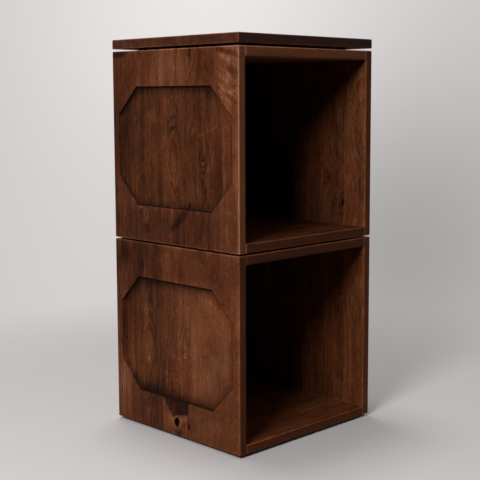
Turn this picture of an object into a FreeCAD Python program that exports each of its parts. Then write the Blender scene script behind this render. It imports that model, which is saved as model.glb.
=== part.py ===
import FreeCAD, Part
import math
import os

# A stack of two open-fronted wooden storage cubes with a loose lid board.
# Frame: +Z up, the open front faces -Y, +X to the right as seen from the front.
# The origin lies on the floor, under the middle of the stack. All sizes are in millimetres.

# Cube carcass
cube_width = 410.0
cube_depth = 392.0
cube_height = 406.0
board = 20.0
edge_round = 2.5

# Roundover routed round the front opening after assembly: its radius, and the corner radius of its path
mouth_round = 4.0
mouth_corner = 6.0

# Octagonal recess routed into the outer face of each side
recess_end_margin = 18.5
recess_rail_margin = 76.0
recess_chamfer = 61.0
recess_depth = 7.0
recess_cove = 5.5
recess_rim_ease = 0.8

# Open knot near the foot of the lower left side: its centre, its half sizes and its depth
knot_from_front = 191.0
knot_height = 29.0
knot_half_width = 7.5
knot_half_height = 9.0
knot_depth = 7.0
knot_floor_round = 3.0

# Back panel in its rebate
back_board = 6.0
rebate_width = 10.0
back_clearance = 0.5

# Countersunk back screws with a cross recess
screw_diameter = 3.0
screw_length = 16.0
screw_tip = 3.0
screw_head = 6.4
screw_sink = 0.2
screw_clearance = 0.05
screw_end_inset = 30.0
screws_per_edge = 3
drive_width = 0.9
drive_depth = 1.2
drive_rim = 1.1

# Blind dowels between the panels and the sides
dowel_diameter = 8.0
dowel_skin = 7.0
dowel_in_panel = 26.0
dowel_end_gap = 0.5
dowel_clearance = 0.05
dowel_chamfer = 0.8
dowel_inset = 45.0
dowels_per_joint = 4

# Rubber feet of the cubes, taller on the floor than between the cubes, and rubber pads of the lid
foot_diameter = 20.0
floor_foot_height = 5.5
stack_foot_height = 3.5
foot_inset = 48.0
foot_round = 1.0
pad_diameter = 20.0
pad_height = 5.0
pad_inset = 48.0
pad_round = 1.0

# Lid board
lid_thickness = 20.0
lid_round = 2.0

# How far a cutting shape reaches past the faces that it cuts
overcut = 1.0
# The most of its wall that a cove or rounded floor may take
wall_share = 0.95
# How near to a plane an edge counts as lying in it
in_plane = 1e-4

# Sizes worked out from the ones above
outer_x = cube_width / 2
inner_x = outer_x - board
inner_low = board
inner_high = cube_height - board
front = -cube_depth / 2
rear = cube_depth / 2
ledge = rear - back_board

X = FreeCAD.Vector(1, 0, 0)
Y = FreeCAD.Vector(0, 1, 0)
Z = FreeCAD.Vector(0, 0, 1)


def block(x, y, z):
    """A box between the pairs of limits x, y and z."""
    corner = FreeCAD.Vector(x[0], y[0], z[0])
    return Part.makeBox(x[1] - x[0], y[1] - y[0], z[1] - z[0], corner)


def eased_block(x, y, z, radius):
    """A box between the pairs of limits, with every edge rounded over."""
    box = block(x, y, z)
    return box.makeFillet(radius, box.Edges)


def spread(low, high, count):
    """Evenly spaced places from low to high, both included."""
    step = (high - low) / (count - 1)
    return [low + step * i for i in range(count)]


def edges_in(shape, axis, place):
    """The edges of a shape that lie in the plane across an axis at a place."""
    return [e for e in shape.Edges if all(abs(v.Point.dot(axis) - place) < in_plane for v in e.Vertexes)]


def corner_arc(corner, toward_start, toward_end, radius):
    """A quarter circle that rounds a square corner between two directions."""
    inset = radius * (1 - math.sqrt(0.5))
    return Part.Arc(
        corner + toward_start * radius,
        corner + (toward_start + toward_end) * inset,
        corner + toward_end * radius,
    ).toShape()


def closed_loop(arcs):
    """A wire of arcs in order, joined by straight runs from each arc's end to the next one's start."""
    edges = []
    for arc, following in zip(arcs, arcs[1:] + arcs[:1]):
        edges.append(arc)
        run_start = arc.valueAt(arc.LastParameter)
        run_end = following.valueAt(following.FirstParameter)
        edges.append(Part.LineSegment(run_start, run_end).toShape())
    return Part.Wire(edges)


def recess_cutter():
    """The octagonal recess in the left side: a flat floor that meets its wall in a cove."""
    mouth = -outer_x - overcut
    floor = -outer_x + recess_depth
    y = (front + recess_end_margin, rear - recess_end_margin)
    z = (recess_rail_margin, cube_height - recess_rail_margin)
    cut = recess_chamfer
    corners = [
        (y[0] + cut, z[0]),
        (y[1] - cut, z[0]),
        (y[1], z[0] + cut),
        (y[1], z[1] - cut),
        (y[1] - cut, z[1]),
        (y[0] + cut, z[1]),
        (y[0], z[1] - cut),
        (y[0], z[0] + cut),
    ]
    points = [FreeCAD.Vector(mouth, *corner) for corner in corners]
    octagon = Part.Face(Part.makePolygon(points + points[:1]))
    prism = octagon.extrude(X * (floor - mouth))
    cove = min(recess_cove, (recess_depth - recess_rim_ease) * wall_share)
    return prism.makeFillet(cove, edges_in(prism, X, floor))


def recess_rim(side):
    """The edges where the recess meets the outer face of the left side."""
    rim = []
    for edge in edges_in(side, X, -outer_x):
        middle = edge.CenterOfMass
        from_ends = min(middle.y - front, rear - middle.y)
        from_rails = min(middle.z, cube_height - middle.z)
        if from_ends > recess_end_margin / 2 and from_rails > recess_rail_margin / 2:
            rim.append(edge)
    return rim


def mouth_cutter():
    """The waste of the roundover round the front opening, whose path turns each corner on an arc."""
    left, right = -inner_x, inner_x
    turns = [
        (FreeCAD.Vector(right, front, inner_low), -X, Z),
        (FreeCAD.Vector(right, front, inner_high), -Z, -X),
        (FreeCAD.Vector(left, front, inner_high), X, -Z),
        (FreeCAD.Vector(left, front, inner_low), Z, X),
    ]
    path = closed_loop([corner_arc(*turn, mouth_corner) for turn in turns])
    edge = FreeCAD.Vector(right - mouth_corner, front, inner_low)
    inside = Z * (mouth_corner / 2)
    bend = corner_arc(edge, -Z, Y, mouth_round)
    corners = [
        edge + Y * mouth_round,
        edge + Y * mouth_round + inside,
        edge - Y * overcut + inside,
        edge - Y * overcut - Z * mouth_round,
        edge - Z * mouth_round,
    ]
    profile = Part.Wire([bend] + Part.makePolygon(corners).Edges)
    return path.makePipeShell([profile], True, False)


def rebate_cutter():
    """The step round the back of the carcass that takes the back panel."""
    reach = inner_x + rebate_width
    heights = (inner_low - rebate_width, inner_high + rebate_width)
    return block((-reach, reach), (ledge, rear + overcut), heights)


def screw_places():
    """Centres of the back screws, along the middle of the rebate's ledge."""
    x_edge = inner_x + rebate_width / 2
    z_low = inner_low - rebate_width / 2
    z_high = inner_high + rebate_width / 2
    places = []
    for x in spread(-inner_x + screw_end_inset, inner_x - screw_end_inset, screws_per_edge):
        places += [(x, z_low), (x, z_high)]
    for z in spread(inner_low + screw_end_inset, inner_high - screw_end_inset, screws_per_edge):
        places += [(-x_edge, z), (x_edge, z)]
    return places


def screw_form(x, z, grow):
    """A countersunk screw driven from behind, with every radius larger by grow."""
    head_r = screw_head / 2
    shank_r = screw_diameter / 2
    cone = head_r - shank_r
    face = FreeCAD.Vector(x, rear - screw_sink, z)
    neck = face - Y * cone
    taper = face - Y * (screw_length - screw_tip)
    head = Part.makeCone(head_r + grow, shank_r + grow, cone, face, -Y)
    shank = Part.makeCylinder(shank_r + grow, (neck - taper).Length, neck, -Y)
    point = Part.makeCone(shank_r + grow, grow, screw_tip, taper, -Y)
    return head.fuse([shank, point]).removeSplitter()


def screw(x, z):
    """One back screw with a cross recess in its head."""
    half = drive_width / 2
    reach = screw_head / 2 - drive_rim
    sunk = (rear - screw_sink - drive_depth, rear + overcut)
    across = block((x - reach, x + reach), sunk, (z - half, z + half))
    along = block((x - half, x + half), sunk, (z - reach, z + reach))
    return screw_form(x, z, 0.0).cut(across.fuse(along))


def screw_hole(x, z):
    """The countersunk hole that a back screw sits in, open to the back."""
    face = FreeCAD.Vector(x, rear - screw_sink, z)
    mouth = Part.makeCylinder(screw_head / 2 + screw_clearance, screw_sink + overcut, face, Y)
    return screw_form(x, z, screw_clearance).fuse(mouth)


def dowel_places(z):
    """Dowel centres at both ends of the panel whose middle lies at height z."""
    rows = spread(front + dowel_inset, ledge - dowel_inset, dowels_per_joint)
    return [(side, y, z) for side in (-1, 1) for y in rows]


def dowel_form(side, y, z, grow, end_gap):
    """A rod across the joint at one end of a panel, wider by grow and shorter by end_gap at each end."""
    inner_end = inner_x - dowel_in_panel + end_gap
    outer_end = outer_x - dowel_skin - end_gap
    start = FreeCAD.Vector(side * inner_end, y, z)
    return Part.makeCylinder(dowel_diameter / 2 + grow, outer_end - inner_end, start, X * side)


def dowel(side, y, z):
    """One glued dowel with chamfered ends."""
    peg = dowel_form(side, y, z, 0.0, dowel_end_gap)
    rims = [edge for edge in peg.Edges if edge.Closed]
    return peg.makeChamfer(dowel_chamfer, rims)


def four_pads(inset, diameter, height, rounding):
    """Rubber pads near the corners of the footprint, hanging below height 0, their lower rims rounded."""
    pads = []
    for x in (inset - outer_x, outer_x - inset):
        for y in (front + inset, rear - inset):
            pad = Part.makeCylinder(diameter / 2, height, FreeCAD.Vector(x, y, -height))
            pads.append(pad.makeFillet(rounding, edges_in(pad, Z, -height)))
    return Part.makeCompound(pads)


def knot_cutter():
    """The open knot in the lower left side: an elliptical pit with a rounded floor."""
    centre = FreeCAD.Vector(-outer_x - overcut, front + knot_from_front, knot_height)
    ends = [centre + Z * knot_half_height, centre + Y * knot_half_width]
    ends.sort(key=centre.distanceToPoint, reverse=True)
    ring = Part.Ellipse(*ends, centre).toShape()
    pit = Part.Face(Part.Wire([ring])).extrude(X * (overcut + knot_depth))
    rounding = min(knot_floor_round, knot_depth * wall_share)
    return pit.makeFillet(rounding, edges_in(pit, X, -outer_x + knot_depth))


def carcass():
    """The boards and fasteners of one cube whose boards start at height 0, by name."""
    envelope = eased_block((-outer_x, outer_x), (front, rear), (0, cube_height), edge_round)
    bottom_dowels = dowel_places(inner_low / 2)
    top_dowels = dowel_places((inner_high + cube_height) / 2)
    screws = screw_places()
    screw_holes = [screw_hole(*place) for place in screws]
    waste = [mouth_cutter(), rebate_cutter()] + screw_holes
    waste += [dowel_form(*place, dowel_clearance, 0.0) for place in bottom_dowels + top_dowels]

    left = block((-outer_x, -inner_x), (front, rear), (0, cube_height)).common(envelope)
    left = left.cut(recess_cutter())
    left = left.makeFillet(recess_rim_ease, recess_rim(left))
    right = left.mirror(FreeCAD.Vector(), X)
    bottom = block((-inner_x, inner_x), (front, rear), (0, inner_low)).common(envelope)
    top = block((-inner_x, inner_x), (front, rear), (inner_high, cube_height)).common(envelope)
    overlap = rebate_width - back_clearance
    back = block(
        (-inner_x - overlap, inner_x + overlap),
        (ledge, rear),
        (inner_low - overlap, inner_high + overlap),
    )
    return {
        "left_side": left.cut(waste),
        "right_side": right.cut(waste),
        "bottom_panel": bottom.cut(waste),
        "top_panel": top.cut(waste),
        "back_panel": back.cut(screw_holes),
        "bottom_dowels": Part.makeCompound([dowel(*place) for place in bottom_dowels]),
        "top_dowels": Part.makeCompound([dowel(*place) for place in top_dowels]),
        "back_screws": Part.makeCompound([screw(*place) for place in screws]),
    }


def lid():
    """The lid board, which starts at height 0, and its pads, by name."""
    return {
        "lid_board": eased_block((-outer_x, outer_x), (front, rear), (0, lid_thickness), lid_round),
        "lid_pads": four_pads(pad_inset, pad_diameter, pad_height, pad_round),
    }


def write(pieces, prefix, height):
    """Write pieces at their height in the stack, one file each."""
    for name, shape in pieces.items():
        placed = shape.copy()
        placed.translate(Z * height)
        placed.exportStep("parts/" + prefix + name + ".step")


os.makedirs("parts", exist_ok=True)
lower_base = floor_foot_height
upper_base = lower_base + cube_height + stack_foot_height
lid_base = upper_base + cube_height + pad_height

cube = carcass()
cube["feet"] = four_pads(foot_inset, foot_diameter, stack_foot_height, foot_round)
write(cube, "upper_", upper_base)
cube["left_side"] = cube["left_side"].cut(knot_cutter())
cube["feet"] = four_pads(foot_inset, foot_diameter, floor_foot_height, foot_round)
write(cube, "lower_", lower_base)
write(lid(), "", lid_base)
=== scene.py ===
import math
import random
from collections import namedtuple

import bpy
import numpy as np
from mathutils import Matrix, Vector


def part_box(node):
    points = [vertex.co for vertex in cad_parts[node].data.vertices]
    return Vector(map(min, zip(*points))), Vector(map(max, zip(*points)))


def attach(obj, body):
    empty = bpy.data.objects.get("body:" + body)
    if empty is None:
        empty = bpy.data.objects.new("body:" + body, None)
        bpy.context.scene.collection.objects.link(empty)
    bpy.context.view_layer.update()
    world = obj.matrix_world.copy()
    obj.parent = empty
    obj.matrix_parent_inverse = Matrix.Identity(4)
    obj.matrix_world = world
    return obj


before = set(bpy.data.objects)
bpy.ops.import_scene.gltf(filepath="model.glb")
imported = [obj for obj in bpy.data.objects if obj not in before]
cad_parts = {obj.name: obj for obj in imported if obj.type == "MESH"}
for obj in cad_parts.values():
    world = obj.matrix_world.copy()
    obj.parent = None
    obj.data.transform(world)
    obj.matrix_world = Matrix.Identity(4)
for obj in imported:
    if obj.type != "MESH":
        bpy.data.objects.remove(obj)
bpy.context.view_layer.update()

# The looks of a stack of two stained wooden storage cubes with a loose lid board.
# The boards, dowels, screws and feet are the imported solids; this script gives each its finish.
# The one piece made here is the ragged lining of the open knot in the lower left side.
# Frame: +Z up, the open fronts face -Y. Objects are in metres; the finishes work in millimetres.

MM = 0.001

# The octagonal recess in each side, in millimetres
recess_end_margin = 18.5
recess_rail_margin = 76.0
recess_chamfer = 61.0
recess_depth = 7.0

# The open knot of the lower left side, in millimetres from the front edge and the foot of the board
knot_across = 191.0
knot_along = 29.0
knot_half_across = 7.5
knot_half_along = 9.0
knot_depth = 7.0

# Stained wood from its darkest to its palest tone
stain_deep = (0.0115, 0.0039, 0.0021)
stain_dark = (0.0400, 0.0109, 0.0040)
stain_mid = (0.0830, 0.0232, 0.0078)
stain_light = (0.1450, 0.0470, 0.0195)
stain_pale = (0.2300, 0.1000, 0.0560)

# What the stain is multiplied by where it took cooler
stain_cool = (0.86, 0.98, 1.12)

# A stave of a glued-up board.
# start: where it begins across the board. tone: lighter or darker than the rest.
# heart, depth: where the heart of its tree lies, across the board and behind the face.
# eye, reach: the height at which the rings close to an eye, and its half length.
# rise: how much shallower the heart lies in the eye than beyond it.
# pace: the width of one ring. streaks: how streaky its grain is.
Stave = namedtuple("Stave", "start tone heart depth eye reach rise pace streaks", defaults=[1.0])

# A stain, streak, flame or painted highlight on a board: its centre, half sizes, turn in degrees, tone,
# softness, and how far it narrows towards its upper end.
Mark = namedtuple("Mark", "across along half_across half_along turn tone soft taper", defaults=[0.0])

# A grown-over knot: its centre, half width, tone, and by how many millimetres it pushes the rings aside.
Knot = namedtuple("Knot", "across along half_width tone push")

# The floor of a recess: its tone, and how much darker it gets beside its top, bottom, back and front edges,
# from stain and painted shade.
Floor = namedtuple("Floor", "tone top bottom back front")


class Value:
    """One value in a node tree. Operators on it add Math nodes to that tree."""

    def __init__(self, wiring, socket):
        self.wiring = wiring
        self.socket = socket

    def __add__(self, other):
        return self.wiring.math("ADD", self, other)

    def __radd__(self, other):
        return self.wiring.math("ADD", other, self)

    def __sub__(self, other):
        return self.wiring.math("SUBTRACT", self, other)

    def __rsub__(self, other):
        return self.wiring.math("SUBTRACT", other, self)

    def __mul__(self, other):
        return self.wiring.math("MULTIPLY", self, other)

    def __rmul__(self, other):
        return self.wiring.math("MULTIPLY", other, self)

    def __truediv__(self, other):
        return self.wiring.math("DIVIDE", self, other)

    def __rtruediv__(self, other):
        return self.wiring.math("DIVIDE", other, self)

    def __mod__(self, other):
        return self.wiring.math("FLOORED_MODULO", self, other)

    def __neg__(self):
        return self.wiring.math("MULTIPLY", self, -1.0)

    def __abs__(self):
        return self.wiring.math("ABSOLUTE", self)

    def __gt__(self, other):
        return self.wiring.math("GREATER_THAN", self, other)

    def least(self, other):
        return self.wiring.math("MINIMUM", self, other)

    def most(self, other):
        return self.wiring.math("MAXIMUM", self, other)

    def root(self):
        return self.wiring.math("SQRT", self)

    def sine(self):
        return self.wiring.math("SINE", self)

    def bell(self):
        """1 where the value is nil, falling away to 0 on both sides."""
        return self.wiring.math("EXPONENT", -(self * self))

    def rise(self, start, end):
        """A smooth step from 0 at start to 1 at end, which may be the lower of the two."""
        settings = {"interpolation_type": "SMOOTHSTEP"}
        return self.wiring.node("ShaderNodeMapRange", settings, {0: self, 1: start, 2: end})


class Wiring:
    """A node tree being wired."""

    def __init__(self, tree):
        self.tree = tree
        self.tree.nodes.clear()

    def feed(self, socket, value):
        """Links a value to a socket, or sets a plain number, vector or colour on it."""
        if isinstance(value, Value):
            self.tree.links.new(value.socket, socket)
        elif socket.type == "RGBA":
            socket.default_value = tuple(value) + (1.0,)
        else:
            socket.default_value = value

    def node(self, kind, settings=None, sockets=None, out=0):
        """Any node: its type, settings, the values or links of its sockets, and the output that is used."""
        made = self.tree.nodes.new(kind)
        for key, value in (settings or {}).items():
            if key == "stops":
                self.set_stops(made.color_ramp.elements, value)
            else:
                setattr(made, key, value)
        for key, value in (sockets or {}).items():
            self.feed(made.inputs[key], value)
        return Value(self, made.outputs[out]) if made.outputs else made

    @staticmethod
    def set_stops(elements, stops):
        elements.remove(elements[1])
        elements[0].position = stops[0][0]
        for place, _ in stops[1:]:
            elements.new(place)
        for element, (_, colour) in zip(elements, stops):
            element.color = tuple(colour) + (1.0,)

    def math(self, operation, *terms):
        return self.node("ShaderNodeMath", {"operation": operation}, dict(enumerate(terms)))

    def vector(self, x, y, z):
        return self.node("ShaderNodeCombineXYZ", None, {0: x, 1: y, 2: z})

    def parts(self, vector):
        """The three values of a vector."""
        first = self.node("ShaderNodeSeparateXYZ", None, {0: vector})
        return [Value(self, socket) for socket in first.socket.node.outputs]

    def mix(self, share, one, other, blend="MIX"):
        """A colour between one and other."""
        settings = {"data_type": "RGBA", "blend_type": blend}
        return self.node("ShaderNodeMix", settings, {0: share, 6: one, 7: other}, 2)

    def ramp(self, value, stops):
        return self.node("ShaderNodeValToRGB", {"stops": stops}, {0: value})

    def noise(self, x, y, z, detail=2.0, rough=0.5, swirl=0.0):
        """Cloudy noise about 0, from about -0.5 to 0.5, one unit to a cloud."""
        sockets = {"Vector": self.vector(x, y, z), "Scale": 1.0, "Detail": detail,
                   "Roughness": rough, "Distortion": swirl}
        return self.node("ShaderNodeTexNoise", None, sockets) - 0.5

    def place(self):
        """Where a point lies in the frame, in millimetres along X, Y and Z."""
        here = self.node("ShaderNodeTexCoord", None, None, 3)
        scaled = self.node("ShaderNodeVectorMath", {"operation": "SCALE"}, {0: here, "Scale": 1.0 / MM})
        return self.parts(scaled)


class Finish(Wiring):
    """A material being wired: its shader, and the nodes that feed it."""

    def __init__(self, name, **fixed):
        self.material = bpy.data.materials.new(name)
        self.material.use_nodes = True
        super().__init__(self.material.node_tree)
        self.shader = self.tree.nodes.new("ShaderNodeBsdfPrincipled")
        for socket, value in fixed.items():
            self.shader.inputs[socket.replace("_", " ")].default_value = value
        self.output = self.node("ShaderNodeOutputMaterial", None, {0: Value(self, self.shader.outputs[0])})

    def finish(self, colour, rough, height):
        """Feeds the shader: its colour, its roughness, and a relief whose height is in millimetres."""
        self.feed(self.shader.inputs["Base Color"], colour)
        self.feed(self.shader.inputs["Roughness"], rough)
        bump = self.node("ShaderNodeBump", None, {"Strength": 1.0, "Distance": MM, "Height": height})
        self.feed(self.shader.inputs["Normal"], bump)
        return self.material


def by_stave(staves, across, field):
    """A value that steps from stave to stave across a board."""
    value = getattr(staves[0], field)
    for before, stave in zip(staves, staves[1:]):
        step = getattr(stave, field) - getattr(before, field)
        if step:
            value = (across > stave.start) * step + value
    return value


def middle_of_three(a, b, c):
    """The middle one of three values.

    Near an edge of a box, the second smallest distance to its faces is small.
    """
    return a.least(b).most(a.most(b).least(c))


def inside_octagon(across, along, width, length):
    """How far a point lies inside the outline of the recess, in millimetres.

    Also where it lies between the middle of the recess and its edges: -1 at the front to 1 at the back,
    and -1 at the bottom to 1 at the top.
    """
    half_width = width / 2 - recess_end_margin
    half_length = length / 2 - recess_rail_margin
    backward = (across - width / 2) / half_width
    upward = (along - length / 2) / half_length
    beside = half_width - abs(backward) * half_width
    above = half_length - abs(upward) * half_length
    slant = (beside + above - recess_chamfer) * math.sqrt(0.5)
    return beside.least(above).least(slant), backward, upward


def lay_out(f, node, axes):
    """Distances along the grain, across it and behind a board's face, and its three sizes, in millimetres.

    axes gives the frame's axis for each, and the end of the board that it counts from.
    """
    low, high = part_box(node)
    place = f.place()
    measures = []
    sizes = []
    for letter, end in axes:
        i = "xyz".index(letter)
        if end == "low":
            measures.append(place[i] - low[i] / MM)
        else:
            measures.append(high[i] / MM - place[i])
        sizes.append((high[i] - low[i]) / MM)
    return measures, sizes


def blot(mark, across, along, ragged):
    """1 inside a turned ellipse and 0 outside it, with a ragged soft edge."""
    turn = math.radians(mark.turn)
    aside = across - mark.across
    up = along - mark.along
    u = (aside * math.cos(turn) + up * math.sin(turn)) / mark.half_across
    v = (up * math.cos(turn) - aside * math.sin(turn)) / mark.half_along
    if mark.taper:
        u = u / (1.0 - v * mark.taper).most(0.05)
    reach = (u * u + v * v).root() + ragged
    return reach.rise(1.0 + mark.soft, 1.0 - mark.soft)


def stained_board(name, node, axes, staves, marks=(), knots=(), seed=0, tone=0.0, edge_tone=0.0, wear_and_highlight=0.24,
                  sheen=0.03, floor=None, figure=None):
    """Stained solid wood on one board: growth rings, streaks, blotches, natural marks, glue lines, rubbed
    arrises with a painted highlight, and stain and painted shade in its recess.

    tone, edge_tone: how much lighter or darker the board and its long edges are.
    wear: how pale its arrises are, rubbed and with a painted highlight. sheen: how strongly its finish
    mirrors.
    floor: the floor of its recess, if it has one, darkened near its edges by stain and painted shade.
    figure: a function that adds this board's own figure.
    """
    f = Finish(name, Specular_IOR_Level=sheen)
    (along, across, behind), (length, width, thick) = lay_out(f, node, axes)
    shift = 37.0 * seed
    own = by_stave(staves, across, "heart") * 3.7 + shift
    streaky = by_stave(staves, across, "streaks")

    # The run of the grain: a slow wander, and each knot turning it aside
    wander = f.noise(across / 210 + shift, along / 300, behind / 210, 1.0) * 30
    ripple = f.noise(across / 30, along / 55 + shift, behind / 30)
    push = ripple * 6.0
    flow = across + wander + ripple * 4.0
    spots = 0.0
    swirl = 0.0
    for knot in knots:
        aside = across - knot.across
        up = along - knot.along
        u = aside / (knot.half_width * 2.4)
        v = up / (knot.half_width * 4.5)
        hill = 1.0 / (u * u + v * v + 1.0)
        push = push + hill * knot.push
        flow = flow - aside * hill * 0.8
        swirl = hill * hill + swirl
        from_heart = ((aside * aside + up * up * 0.6).root() + ripple * 3.0) / knot.half_width
        spots = from_heart.rise(1.25, 0.7) * knot.tone + spots

    # Growth rings about the heart of each stave's tree
    eye = ((along - by_stave(staves, across, "eye")) / by_stave(staves, across, "reach")).bell()
    deep = behind + by_stave(staves, across, "depth") + (1.0 - eye) * by_stave(staves, across, "rise")
    off = flow - by_stave(staves, across, "heart")
    radius = (off * off + deep * deep).root() + push
    ring = (radius / by_stave(staves, across, "pace")) % 1.0
    late = ring.rise(0.30, 0.84) * ring.rise(1.0, 0.9)

    # Streaks along the grain from coarse to fine, mottling, and blotches where the stain took unevenly
    band = f.noise(flow / 16, along / 330 + own, behind / 16)
    streak = f.noise(flow / 3.4, along / 80 + own, behind / 3.4, 3.0, 0.62)
    fibre = f.noise(flow / 1.2, along / 28 + own, behind / 1.2, 3.0, 0.6)
    mottle = f.noise(across / 6.5 + shift, along / 9.5, behind / 6.5, 3.0, 0.62)
    veins = f.noise(flow / 8.0, along / 100 + own, behind / 8.0 + 5.0)
    vein = (veins / 0.022).bell() * (band + 0.05).rise(0.12, -0.12)
    blotch = f.noise(across / 46 + shift, along / 66, behind / 46, 4.0, 0.58, 0.8)
    pores = f.noise(flow / 0.55, along / 9 + own, behind / 0.55, 1.0).rise(0.16, 0.30)

    ring_depth = (blotch + 0.5).rise(0.3, 0.75) * 0.14 + 0.04 + swirl * 0.22
    level = (streak * 0.50 + band * 0.44 - vein * 0.12 - late * ring_depth) * streaky
    level = level + mottle * 0.42 + blotch * 0.54 + fibre * 0.48
    level = level + by_stave(staves, across, "tone") + (0.5 + tone) + spots
    ragged = ripple * 1.1 + streak * 0.5
    outer_half = behind.rise(thick * 0.7, thick * 0.5)
    for mark in marks:
        share = blot(mark, across, along, ragged) * outer_half
        level = level + share * mark.tone * (streak * 1.2 + 1.0)
    if figure is not None:
        level = level + figure(f, across, along, behind, ripple, streak) * outer_half

    # Glue lines
    for stave in staves[1:]:
        level = level - (abs(across - stave.start) / 0.45).bell() * 0.14

    # Ends of the board, where the stain soaks in, its long edges, which are plainer, and its arrises, rubbed
    # paler and with a painted highlight
    from_side = width / 2 - abs(across - width / 2)
    from_end = length / 2 - abs(along - length / 2)
    from_face = thick / 2 - abs(behind - thick / 2)
    end_speckle = f.noise(across / 2.2, behind / 1.6, shift, 3.0, 0.6)
    level = level - from_end.rise(0.9, 0.2) * (0.10 - end_speckle * 1.0)
    level = level + from_side.rise(1.6, 0.4) * ((0.5 + tone - level) * 0.55 + edge_tone)
    arris = middle_of_three(from_side, from_end, from_face)
    rub = f.noise(across / 16, along / 16, behind / 16 + shift, 3.0, 0.65)
    # Arrises paler: partly rubbed, partly a painted highlight
    worn_and_highlight = arris.rise(3.4, 0.8) * (rub + 0.2).rise(-0.2, 0.3)
    level = level + worn_and_highlight * wear_and_highlight

    # Darker in the cove round the recess and over its floor beside the rim: partly stain pooled where it
    # cuts the grain, partly painted shade
    if floor is not None:
        inside, backward, upward = inside_octagon(across, along, width, length)
        outer = behind.rise(recess_depth + 2.0, recess_depth + 1.0)
        on_floor = inside.rise(-0.8, 1.5) * outer
        cove = inside.rise(-0.8, 0.4) * inside.rise(5.0, 1.5) * outer
        upright = abs(backward).rise(0.93, 0.98) * abs(upward).rise(0.6, 0.5)
        beside_top = upward.most(0.0)
        beside_bottom = upward.least(0.0)
        beside_back = backward.most(0.0)
        beside_front = backward.least(0.0)
        by_end = beside_top * beside_top * floor.top + beside_bottom * beside_bottom * floor.bottom
        by_side = beside_back * beside_back * floor.back + beside_front * beside_front * floor.front
        strength = by_end.most(by_side)
        # Painted shade and pooled stain, spread over the floor up to 34 mm from the rim
        pooled_stain_and_shade = inside.rise(34.0, 1.0)
        level = level + on_floor * floor.tone
        level = level - cove * (0.26 - upright * 0.22)
        level = level - pooled_stain_and_shade * pooled_stain_and_shade * on_floor * strength * (blotch * 1.2 + 1.0)
        # A painted highlight along the rim of the recess, broken up by the rub noise
        rim = (abs(inside + 0.9) / 1.0).bell() * outer
        level = level + rim * (rub + 0.25) * 0.3

    stops = [(0.0, stain_deep), (0.25, stain_dark), (0.5, stain_mid), (0.75, stain_light), (1.0, stain_pale)]
    colour = f.ramp(level, stops)
    cool = f.noise(across / 75, along / 110, behind / 75 + shift + 9.0)
    colour = f.mix((cool + 0.5).rise(0.35, 0.72), colour, stain_cool, "MULTIPLY")
    colour = f.mix(pores * 0.45, colour, stain_deep)
    rough = 0.50 + blotch * 0.2 + fibre * 0.25 - worn_and_highlight * 0.08
    height = fibre * 0.05 + streak * 0.04 - pores * 0.06 - late * 0.02
    return f.finish(colour, rough, height)
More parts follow.
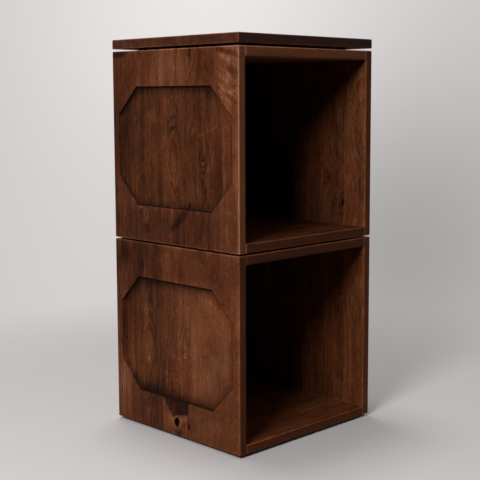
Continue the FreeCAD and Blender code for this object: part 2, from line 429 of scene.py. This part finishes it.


# The two left sides: staves, natural marks and painted highlights, in millimetres from the front edge and
# the foot of the board
upper_left_staves = [
    Stave(0.0, 0.06, 20.0, 70.0, 330.0, 60.0, 10.0, 3.4, 0.7),
    Stave(58.0, -0.02, 120.0, 60.0, 165.0, 120.0, 10.0, 3.6, 0.9),
    Stave(152.0, 0.03, 198.0, 30.0, 165.0, 95.0, 14.0, 3.0),
    Stave(236.0, 0.0, 300.0, 45.0, 60.0, 110.0, 12.0, 3.8),
    Stave(330.0, -0.06, 420.0, 60.0, 200.0, 160.0, 9.0, 3.5),
]
upper_left_marks = [
    # Top rail and back edge
    Mark(206, 368, 52, 40, 0, 0.20, 0.7),
    Mark(335, 366, 70, 34, 0, -0.06, 0.7),
    Mark(100, 366, 34, 36, 0, -0.10, 0.7),
    Mark(378, 402, 30, 9, 0, -0.30, 0.4),
    Mark(372, 250, 24, 120, 0, -0.08, 0.8),
    Mark(141, 392, 2.5, 16, 0, -0.32, 0.6),
    # Front stave and edge, with the bands and spots of the curl
    Mark(28, 345, 34, 58, 0, 0.13, 0.5),
    Mark(38, 396, 28, 4.5, 15, -0.28, 0.6),
    Mark(33, 384, 28, 6, 8, 0.14, 0.7),
    Mark(20, 359, 20, 9, 40, -0.32, 0.4),
    Mark(21, 316, 8, 5, 25, 0.20, 0.6),
    Mark(12, 327, 4, 2, 0, -0.26, 0.6),
    Mark(11.5, 315, 2.5, 2.5, 0, -0.34, 0.5),
    # A painted highlight down the front arris
    Mark(4, 203, 6, 220, 0, 0.14, 0.8),
    # Recess: patches, the flame in the middle, the small curled knot and the streaks beside it
    Mark(270, 270, 12, 9, 0, 0.12, 0.6),
    Mark(255, 258, 24, 3, 0, 0.10, 0.6),
    Mark(228, 290, 4, 18, 0, 0.12, 0.6),
    Mark(223, 219, 9, 15, 0, 0.12, 0.4),
    Mark(351, 195, 22, 60, 0, -0.08, 0.5),
    Mark(200, 164, 10, 36, 0, 0.16, 0.4, 0.5),
    Mark(92, 310, 14, 14, 0, -0.12, 0.7),
    Mark(110, 184, 15, 8, 0, -0.08, 0.7),
    Mark(112, 174, 9, 3.2, -20, 0.20, 0.6),
    Mark(111, 161, 10, 4.5, 0, 0.21, 0.6),
    Mark(111, 168, 5, 2.2, 30, -0.16, 0.5),
    Mark(96, 163, 1.8, 4, 20, 0.14, 0.6),
    Mark(89, 162, 1.8, 5, -10, 0.16, 0.6),
    Mark(84, 175, 1.2, 18, 14, 0.16, 0.6),
    Mark(126, 170, 2.2, 85, 0, 0.20, 0.6),
    Mark(68, 140, 13, 75, 0, -0.16, 0.6),
    Mark(49, 165, 2.5, 60, 0, 0.20, 0.6),
    Mark(113, 144, 4, 14, -10, -0.05, 0.7),
    Mark(153, 86, 3.5, 6, 20, -0.40, 0.8),
    # Bottom rail, with the slanting streak and two tongues
    Mark(196, 36, 240, 42, 0, -0.16, 0.4),
    Mark(168, 61, 9, 22, 42, -0.26, 0.5),
    Mark(192, 40, 8, 18, 52, -0.16, 0.7),
    Mark(284, 54, 12, 22, 0, -0.10, 0.4),
    Mark(284, 57, 9, 17, 0, 0.24, 0.3),
    Mark(279, 29, 8, 8, 0, -0.12, 0.6),
    Mark(202, 55, 12, 22, 0, -0.10, 0.4),
    Mark(200, 58, 9, 18, 0, 0.22, 0.4),
    Mark(350, 40, 40, 36, 0, 0.08, 0.8),
    Mark(45, 40, 24, 36, 0, 0.12, 0.8),
    # Scratches
    Mark(84, 243, 0.9, 42, 68, 0.18, 0.6),
    Mark(39, 251, 0.9, 30, 66, 0.14, 0.6),
    Mark(306, 162, 0.9, 28, 64, 0.16, 0.6),
]
upper_left_knots = [
    Knot(111, 169, 6.0, 0.0, 9.0),
    Knot(141, 398, 6.0, -0.1, 10.0),
]


def upper_left_figure(f, across, along, behind, ripple, streak):
    """Curly figure at the top of the front stave, domes over the middle, and ripples across the grain.

    The domes fall away steeply towards the front and slowly towards the back.
    Each has a height, a thickness and a tone.
    """
    slope = 0.58
    curl = f.noise((across + along * slope) / 36 + 3.0, (along - across * slope) / 9, 2.0, 3.0, 0.6, 0.4)
    curly = across.rise(60.0, 57.0) * along.rise(265.0, 300.0)
    lines = ((along - across * slope + ripple * 24.0) * 1.3).sine() * along.rise(352.0, 335.0)
    domes_across = 196.0
    aside = across - domes_across
    to_front = aside.least(0.0)
    to_back = aside.most(0.0)
    fallen = along + to_front * to_front * 0.20 + to_back * to_back * 0.055 + ripple * 8.0
    steep = (to_front * to_front * 0.16 + to_back * to_back * 0.012 + 1.0).root()
    domes = 0.0
    for height, thick, tone in ((246, 3.0, -0.30), (236, 4.5, 0.13), (268, 2.2, -0.16), (290, 2.6, -0.14)):
        domes = ((fallen - height) / (steep * thick)).bell() * tone + domes
    domed = (aside / 24.0).bell()
    wave = ((along + ripple * 30.0) * 0.9).sine()
    rippled = ((across - 161.0) / 13.0).bell() * ((along - 116.0) / 28.0).bell()
    return (curl * 0.9 + lines * 0.06) * curly + domes * domed + wave * rippled * 0.10


lower_left_staves = [
    Stave(0.0, 0.05, -40.0, 120.0, 200.0, 220.0, 10.0, 9.0, 0.3),
    Stave(154.0, 0.03, 196.0, 40.0, 20.0, 130.0, 12.0, 3.8, 0.8),
    Stave(235.0, -0.07, 286.0, 34.0, 180.0, 100.0, 14.0, 3.4, 1.3),
    Stave(338.0, -0.02, 420.0, 70.0, 100.0, 180.0, 9.0, 4.2, 1.2),
]
lower_left_marks = [
    # Top rail
    Mark(360, 381, 16, 24, 10, -0.16, 0.6),
    Mark(196, 370, 260, 36, 0, -0.12, 0.4),
    Mark(214, 372, 20, 36, 0, 0.12, 0.7),
    Mark(28, 370, 30, 36, 0, 0.06, 0.7),
    Mark(330, 372, 60, 36, 0, -0.06, 0.7),
    Mark(316, 378, 12, 30, 0, 0.12, 0.8),
    # Recess: patches, the flame, and the fine streaks and spots beside it
    Mark(235, 94, 62, 18, 0, -0.14, 0.7),
    Mark(55, 330, 16, 36, -20, -0.12, 0.8),
    Mark(282, 284, 34, 18, 10, -0.12, 0.9),
    Mark(272, 290, 10, 24, 0, 0.12, 0.8),
    Mark(142, 170, 7, 85, 0, 0.08, 0.6),
    Mark(300, 315, 60, 16, 0, -0.10, 0.8),
    Mark(286, 184, 14, 34, 0, 0.15, 0.3, 0.8),
    Mark(265, 190, 2.2, 60, 0, -0.16, 0.7),
    Mark(259, 205, 1.6, 44, 0, -0.12, 0.7),
    Mark(166, 222, 2.0, 24, 0, -0.16, 0.7),
    Mark(157, 222, 1.6, 26, 0, -0.14, 0.7),
    Mark(290, 146, 9, 7, 0, 0.20, 0.4),
    Mark(173, 198, 4, 8, 15, 0.24, 0.4),
    Mark(170, 177, 7, 6, 0, 0.24, 0.4),
    Mark(100, 210, 60, 90, 0, 0.11, 0.8),
    Mark(92, 190, 26, 30, 0, -0.08, 0.8),
    Mark(340, 230, 30, 90, 0, -0.06, 0.8),
    # Bottom rail, with the spots round the open knot
    Mark(225, 40, 22, 40, 0, 0.08, 0.7),
    Mark(290, 40, 40, 40, 0, -0.08, 0.7),
    Mark(153, 27, 3.2, 5, 0, -0.50, 0.4),
    Mark(153, 28, 2, 3.5, 0, -0.40, 0.5),
    Mark(149, 33, 13, 14, 0, -0.18, 0.8),
    Mark(knot_across + 4, 28, 36, 16, 0, 0.16, 0.8),
    Mark(171, 40, 14, 6, -17, 0.18, 0.6),
    Mark(169, 25, 6, 5, 0, -0.16, 0.7),
    Mark(224, 29, 12, 2, 0, -0.12, 0.7),
    Mark(184, 9, 11, 7, 0, -0.28, 0.7),
    # Edges, and a pinhole
    Mark(368, 84, 24, 76, 0, 0.20, 0.8),
    # A painted highlight down the front arris
    Mark(4, 203, 6, 220, 0, 0.08, 0.8),
    Mark(47, 304, 2, 2, 0, -0.40, 0.5),
]
lower_left_knots = [
    Knot(knot_across, knot_along, 8.5, 0.0, 16.0),
    Knot(171, 187, 6.0, 0.0, 10.0),
]


def lower_left_figure(f, across, along, behind, ripple, streak):
    """The open knot, the wedge above it, waves across the middle stave and cutter lines in the recess."""
    aside = (across - knot_across) / knot_half_across
    up = (along - knot_along) / knot_half_along
    from_knot = (aside * aside + up * up).root()
    pit = from_knot.rise(1.14, 1.04)
    ring = ((from_knot - 1.34 + ripple * 0.3) / 0.2).bell() * behind.rise(0.6, 0.2)
    ragged = ripple * 5.0 + streak * 5.0
    under_recess = along.rise(79.0, 76.5)
    from_back = (231.0 - across) * 0.80 + (along - 72.7) * 0.60
    from_front = (along - 38.0) - (205.0 - across) * 0.30
    wedge = (from_back.least(from_front) + ragged).rise(-1.5, 3.0)
    wedge = wedge * across.rise(154.0, 156.0) * under_recess
    lines = (along * 1.5 + ripple * 2.0).sine() * ((along - 300.0) / 22.0).bell()
    bow = across - 205.0
    waves = ((along + bow * bow / 130.0 + ripple * 40.0) * 0.5).sine()
    waved = (bow / 34.0).bell() * ((along - 125.0) / 32.0).bell() * across.rise(154.0, 158.0)
    return lines * 0.035 + waves * waved * 0.06 + ring * 0.16 - wedge * 0.42 - pit * 0.9


def random_staves(rng, width):
    """Staves of about 60 to 110 mm across a board, each from its own tree."""
    staves = []
    start = -rng.uniform(0.0, 60.0)
    while start < width:
        span = rng.uniform(60.0, 110.0)
        staves.append(Stave(
            max(start, 0.0), rng.uniform(-0.06, 0.06),
            start + span * rng.uniform(-0.3, 1.3), rng.uniform(25.0, 90.0),
            rng.uniform(0.0, 400.0), rng.uniform(80.0, 200.0), rng.uniform(8.0, 16.0), rng.uniform(2.8, 4.6),
        ))
        start += span
    return staves


def random_marks(rng, width, length, count):
    """Soft stains and flames scattered over a board."""
    return [
        Mark(rng.uniform(0, width), rng.uniform(0, length), rng.uniform(8, 40), rng.uniform(20, 90),
             rng.uniform(-8, 8), rng.choice((-1, 1)) * rng.uniform(0.06, 0.16), 0.8)
        for _ in range(count)
    ]


def random_knots(rng, width, length, count):
    """Small grown-over knots scattered over a board."""
    return [
        Knot(rng.uniform(0.1, 0.9) * width, rng.uniform(0.1, 0.9) * length, rng.uniform(3.0, 7.0),
             rng.uniform(-0.35, -0.1), rng.uniform(8.0, 16.0))
        for _ in range(count)
    ]


def dress(node, material):
    """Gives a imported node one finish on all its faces."""
    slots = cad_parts[node].data.materials
    slots.clear()
    slots.append(material)


# For each kind of board, the axes along its grain, across it and behind its face
left_axes = [("z", "low"), ("y", "low"), ("x", "low")]
right_axes = [("z", "low"), ("y", "low"), ("x", "high")]
panel_axes = [("x", "low"), ("y", "low"), ("z", "high")]
back_axes = [("z", "low"), ("x", "low"), ("y", "high")]

dress("upper_left_side", stained_board(
    "stained_upper_left", "upper_left_side", left_axes, upper_left_staves, upper_left_marks,
    upper_left_knots, seed=1, edge_tone=0.10, wear_and_highlight=0.50, floor=Floor(-0.08, 0.34, 0.14, 0.06, 0.16),
    figure=upper_left_figure))
dress("lower_left_side", stained_board(
    "stained_lower_left", "lower_left_side", left_axes, lower_left_staves, lower_left_marks,
    lower_left_knots, seed=2, edge_tone=-0.18, wear_and_highlight=0.26, floor=Floor(0.05, 0.50, 0.38, 0.32, 0.32),
    figure=lower_left_figure))

# The other boards. Their staves, marks and knots are made up, and spread over this width and length.
rng = random.Random(11)
board_width = 392.0
board_length = 406.0
for i, node in enumerate(["upper_right_side", "lower_right_side"]):
    dress(node, stained_board(
        "stained_" + node, node, right_axes, random_staves(rng, board_width),
        random_marks(rng, board_width, board_length, 7), random_knots(rng, board_width, board_length, 2),
        seed=5 + i, edge_tone=-0.06, floor=Floor(0.0, 0.32, 0.26, 0.18, 0.12)))
panel_tones = {"upper_top_panel": 0.15, "upper_bottom_panel": -0.18, "lower_top_panel": -0.20,
               "lower_bottom_panel": -0.04}
for i, (node, tone) in enumerate(panel_tones.items()):
    dress(node, stained_board(
        "stained_" + node, node, panel_axes, random_staves(rng, board_width),
        random_marks(rng, board_width, board_length, 5), random_knots(rng, board_width, board_length, 1),
        seed=9 + i, tone=tone, wear_and_highlight=0.40))
dress("lid_board", stained_board(
    "stained_lid_board", "lid_board", panel_axes, random_staves(rng, board_width),
    random_marks(rng, board_width, board_length, 5), random_knots(rng, board_width, board_length, 1),
    seed=13, tone=-0.07, edge_tone=-0.32, wear_and_highlight=0.40, sheen=0.065))


def peeled_veneer(rng, width):
    """A back panel's face: one wide sheet peeled round the log, so its rings lie open in broad flames."""
    return [Stave(0.0, 0.0, width * rng.uniform(0.35, 0.6), 14.0,
                  rng.uniform(120.0, 260.0), 150.0, 34.0, 7.5, 0.8)]


# The back panels, whose marks and knots are spread over this width and length
back_width = 389.0
back_length = 385.0
for i, node in enumerate(["upper_back_panel", "lower_back_panel"]):
    dress(node, stained_board(
        "stained_" + node, node, back_axes, peeled_veneer(rng, back_width),
        random_marks(rng, back_width, back_length, 6), random_knots(rng, back_width, back_length, 3),
        seed=15 + i, tone=-0.05))


def beech_peg(name):
    """Pale beech of the dowels: fine fibres along X, with the short dark flecks of its rays."""
    f = Finish(name, Specular_IOR_Level=0.3)
    x, y, z = f.place()
    fibre = f.noise(x / 20, y / 0.6, z / 0.6, 3.0, 0.6)
    fleck = f.noise(x / 2.4, y / 0.5, z / 0.5, 1.0).rise(0.14, 0.26)
    colour = f.mix(fibre + 0.5, (0.36, 0.21, 0.11), (0.52, 0.34, 0.20))
    colour = f.mix(fleck * 0.6, colour, (0.20, 0.10, 0.05))
    return f.finish(colour, 0.55 + fibre * 0.3, fibre * 0.03 - fleck * 0.02)


def screw_steel(name, node):
    """Zinc-plated steel of the back screws: cloudy and scratched, and darker down in the cross recess."""
    f = Finish(name, Metallic=1.0)
    x, y, z = f.place()
    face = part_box(node)[1].y / MM
    sunk = (face - y).rise(0.1, 1.1)
    cloud = f.noise(x / 2.0, y / 2.0, z / 2.0, 4.0, 0.6)
    scratch = f.noise(x / 0.25, y / 3.0, z / 3.0, 2.0).rise(0.1, 0.2)
    colour = f.mix(cloud + 0.5, (0.40, 0.37, 0.32), (0.62, 0.60, 0.55))
    # Darker down in the cross recess
    colour = f.mix(sunk * 0.75, colour, (0.05, 0.04, 0.03))
    return f.finish(colour, 0.34 + cloud * 0.3 + scratch * 0.2, cloud * 0.02 - scratch * 0.01)


def foot_rubber(name):
    """Black moulded rubber: a fine eggshell grain, with dust where it has rubbed."""
    f = Finish(name, Specular_IOR_Level=0.3)
    x, y, z = f.place()
    grain = f.noise(x / 0.5, y / 0.5, z / 0.5, 2.0)
    dust = f.noise(x / 7.0, y / 7.0, z / 3.0, 4.0, 0.6).rise(0.02, 0.25)
    colour = f.mix(dust * 0.5, (0.010, 0.010, 0.010), (0.060, 0.052, 0.046))
    return f.finish(colour, 0.62 + grain * 0.2 + dust * 0.2, grain * 0.06)


beech = beech_peg("dowel_beech")
rubber = foot_rubber("foot_rubber")
for cube in ("lower", "upper"):
    dress(cube + "_top_dowels", beech)
    dress(cube + "_bottom_dowels", beech)
    dress(cube + "_back_screws", screw_steel(cube + "_screw_steel", cube + "_back_screws"))
    dress(cube + "_feet", rubber)
dress("lid_pads", rubber)


def bark(name):
    """Black bark in the open knot: crumbly and dull, with a smoother glossy drop low down towards the front,
    on which a pale glint is painted.
    """
    f = Finish(name, Specular_IOR_Level=0.02)
    (up, across, _), _ = lay_out(f, "lower_left_side", left_axes)
    crumb = f.noise(across / 1.1, up / 1.6, 0.0, 4.0, 0.65)
    resin_and_painted_glint = ((across - knot_across + 2.6) / 2.4).bell() * ((up - knot_along + 4.6) / 3.0).bell()
    colour = f.mix((crumb + 0.5).rise(0.35, 0.75), (0.0010, 0.0007, 0.0006), (0.0045, 0.0023, 0.0014))
    # Painted glint: pale grey on the smoother drop
    colour = f.mix(resin_and_painted_glint * 0.8, colour, (0.100, 0.085, 0.075))
    return f.finish(colour, 0.75 - resin_and_painted_glint * 0.40 + crumb * 0.3, crumb * 0.5)


def knot_lining(around=120, rows=26):
    """The ragged bark that lines the open knot: a bowl on a polar grid that closes in a pole at its foot.

    T runs round the bowl, and S from its rim at 0 to its foot at 1.
    The radius is a share of the pit's ellipse times cos(90 S) to the power 0.55, with ridges down it:
    three sine waves of T that drift with S. The depth grows from the rim with sin(90 S) to the power 1.3,
    and the rim itself rises and falls with T.
    """
    share_of_pit = 0.90
    rim_depth = 0.45
    foot_depth = knot_depth - 0.8
    turn, share = np.meshgrid(np.linspace(0.0, 2 * np.pi, around, endpoint=False),
                              np.linspace(0.0, 1.0, rows, endpoint=False))
    fade = np.cos(share * np.pi / 2)
    sweep = np.sin(share * np.pi / 2)
    ridges = 0.050 * np.sin(7 * turn + 3 * share) + 0.035 * np.sin(13 * turn + 1.0 - 5 * share)
    ridges = ridges + 0.020 * np.sin(29 * turn + 4 * share)
    reach = share_of_pit * (1 + ridges) * fade ** 0.55
    depth = rim_depth + (foot_depth - rim_depth) * sweep ** 1.3 + 0.20 * fade * np.sin(5 * turn + 0.7)
    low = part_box("lower_left_side")[0] / MM
    points = np.stack([low.x + depth, low.y + knot_across + knot_half_across * reach * np.cos(turn),
                       low.z + knot_along + knot_half_along * reach * np.sin(turn)], -1).reshape(-1, 3)
    foot = [[low.x + foot_depth, low.y + knot_across, low.z + knot_along]]
    here = np.arange(rows * around).reshape(rows, around)
    beside = np.roll(here, -1, 1)
    bands = np.stack([here[:-1], beside[:-1], beside[1:], here[1:]], -1).reshape(-1, 4)
    pole = np.full(around, rows * around)
    tip = np.stack([here[-1], beside[-1], pole], -1)
    mesh = bpy.data.meshes.new("knot_lining")
    mesh.from_pydata((np.concatenate([points, foot]) * MM).tolist(), [], bands.tolist() + tip.tolist())
    mesh.materials.append(bark("knot_bark"))
    lining = bpy.data.objects.new("knot_lining", mesh)
    bpy.context.scene.collection.objects.link(lining)
    wall = lining.modifiers.new("wall", "SOLIDIFY")
    wall.thickness = 0.35 * MM
    wall.offset = -1.0
    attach(lining, "lower_cube")


knot_lining()

# Camera at the angle of the photograph, whose picture is square, with sides of this many pixels
picture = 480
camera_place = Vector((-1.6107, -1.6233, 0.7228))
camera_azimuth = math.radians(44.611)
camera_pitch = math.radians(6.794)
camera_roll = math.radians(0.234)
forward = Vector((math.sin(camera_azimuth) * math.cos(camera_pitch),
                  math.cos(camera_azimuth) * math.cos(camera_pitch), -math.sin(camera_pitch)))
level_side = forward.cross(Vector((0, 0, 1))).normalized()
level_up = level_side.cross(forward)
side = level_side * math.cos(camera_roll) - level_up * math.sin(camera_roll)
up = level_up * math.cos(camera_roll) + level_side * math.sin(camera_roll)
camera_data = bpy.data.cameras.new("camera")
camera_data.lens = 77.648
camera_data.sensor_width = 36.0
camera_data.shift_y = -0.0417
camera = bpy.data.objects.new("camera", camera_data)
camera.matrix_world = Matrix.Translation(camera_place) @ Matrix((side, up, -forward)).transposed().to_4x4()
bpy.context.scene.collection.objects.link(camera)
bpy.context.scene.camera = camera

# Floor: plain pale paper that clears into the backdrop further out, between two distances in millimetres
floor_half = 3.0
clears_from = 550.0
clears_to = 1500.0
floor_mesh = bpy.data.meshes.new("floor")
floor_mesh.from_pydata(
    [(-floor_half, -floor_half, 0), (floor_half, -floor_half, 0), (floor_half, floor_half, 0),
     (-floor_half, floor_half, 0)], [], [(0, 1, 2, 3)])
floor = bpy.data.objects.new("floor", floor_mesh)
bpy.context.scene.collection.objects.link(floor)
paper = Finish("floor_paper", Specular_IOR_Level=0.1)
x, y, _ = paper.place()
speck = paper.noise(x / 400, y / 400, 0.0)
tint = paper.mix(speck + 0.5, (0.394, 0.376, 0.375), (0.408, 0.390, 0.389))
paper.finish(tint, 0.85, speck * 0.01)
far_out = (x * x + y * y).root().rise(clears_from, clears_to)
clear = paper.node("ShaderNodeBsdfTransparent")
shader = Value(paper, paper.shader.outputs[0])
faded = paper.node("ShaderNodeMixShader", None, {0: far_out, 1: shader, 2: clear})
paper.feed(paper.output.inputs[0], faded)
floor_mesh.materials.append(paper.material)

# Backdrop: pale grey, with a painted pool of light behind the top of the stack, a faint one beside its left,
# and the stack's shadow painted on it to its right.
# The light that it sheds comes from above and behind, so that the gap under the stack stays dark.
backdrop_tint = (1.03, 0.988, 0.986)
light_from = (0.40, 0.52, 0.75)
world = bpy.data.worlds.new("studio")
bpy.context.scene.world = world
world.use_nodes = True
studio = Wiring(world.node_tree)


def towards(px, py):
    """The direction of a point of the picture from the camera."""
    focal = camera_data.lens / camera_data.sensor_width * picture
    across = (px - picture / 2) / focal
    down = (py - picture / 2 - picture * camera_data.shift_y) / focal
    return (forward + side * across - up * down).normalized()


def glow(centre, radius):
    """1 in a direction, falling away to 0 around it."""
    here = studio.node("ShaderNodeTexCoord")
    apart = studio.node("ShaderNodeVectorMath", {"operation": "DISTANCE"}, {0: here, 1: centre}, 1)
    return (apart / radius).bell()


# Painted light and shadow: pools of light behind the top of the stack and beside its left, and the stack's
# shadow to its right
grey = 0.570 + glow(towards(215, -5), 0.188) * 0.25
grey = grey + glow(towards(130, 300), 0.155) * 0.06 - glow(towards(390, 240), 0.164) * 0.22
backdrop = studio.mix(1.0, studio.vector(grey, grey, grey), backdrop_tint, "MULTIPLY")
path = studio.node("ShaderNodeLightPath")
rays = {socket.name: Value(studio, socket) for socket in path.socket.node.outputs}
seen = rays["Is Camera Ray"].most(rays["Is Glossy Ray"]).most(rays["Is Transmission Ray"])
ray = studio.node("ShaderNodeTexCoord")
lean = studio.node("ShaderNodeVectorMath", {"operation": "DOT_PRODUCT"}, {0: ray, 1: light_from}, 1)
shed = lean.rise(-0.35, 0.75) * 0.52 + 0.02
sky = studio.mix(seen, studio.vector(shed, shed, shed), backdrop)
studio.node("ShaderNodeOutputWorld", None, {0: studio.node("ShaderNodeBackground", None, {0: sky})})


def soft_light(name, place, aim, size, power):
    """A round soft light that faces its aim."""
    data = bpy.data.lights.new(name, "AREA")
    data.shape = "DISK"
    data.size = size
    data.energy = power
    lamp = bpy.data.objects.new(name, data)
    facing = (Vector(aim) - Vector(place)).to_track_quat("-Z", "Y")
    lamp.matrix_world = Matrix.Translation(place) @ facing.to_matrix().to_4x4()
    bpy.context.scene.collection.objects.link(lamp)


soft_light("key", (-2.3, -0.90, 1.95), (0.0, 0.0, 0.42), 1.0, 90.0)
soft_light("overhead", (0.15, 0.75, 5.0), (0.15, 0.75, 0.0), 1.2, 120.0)

bpy.context.scene.view_settings.view_transform = "Standard"
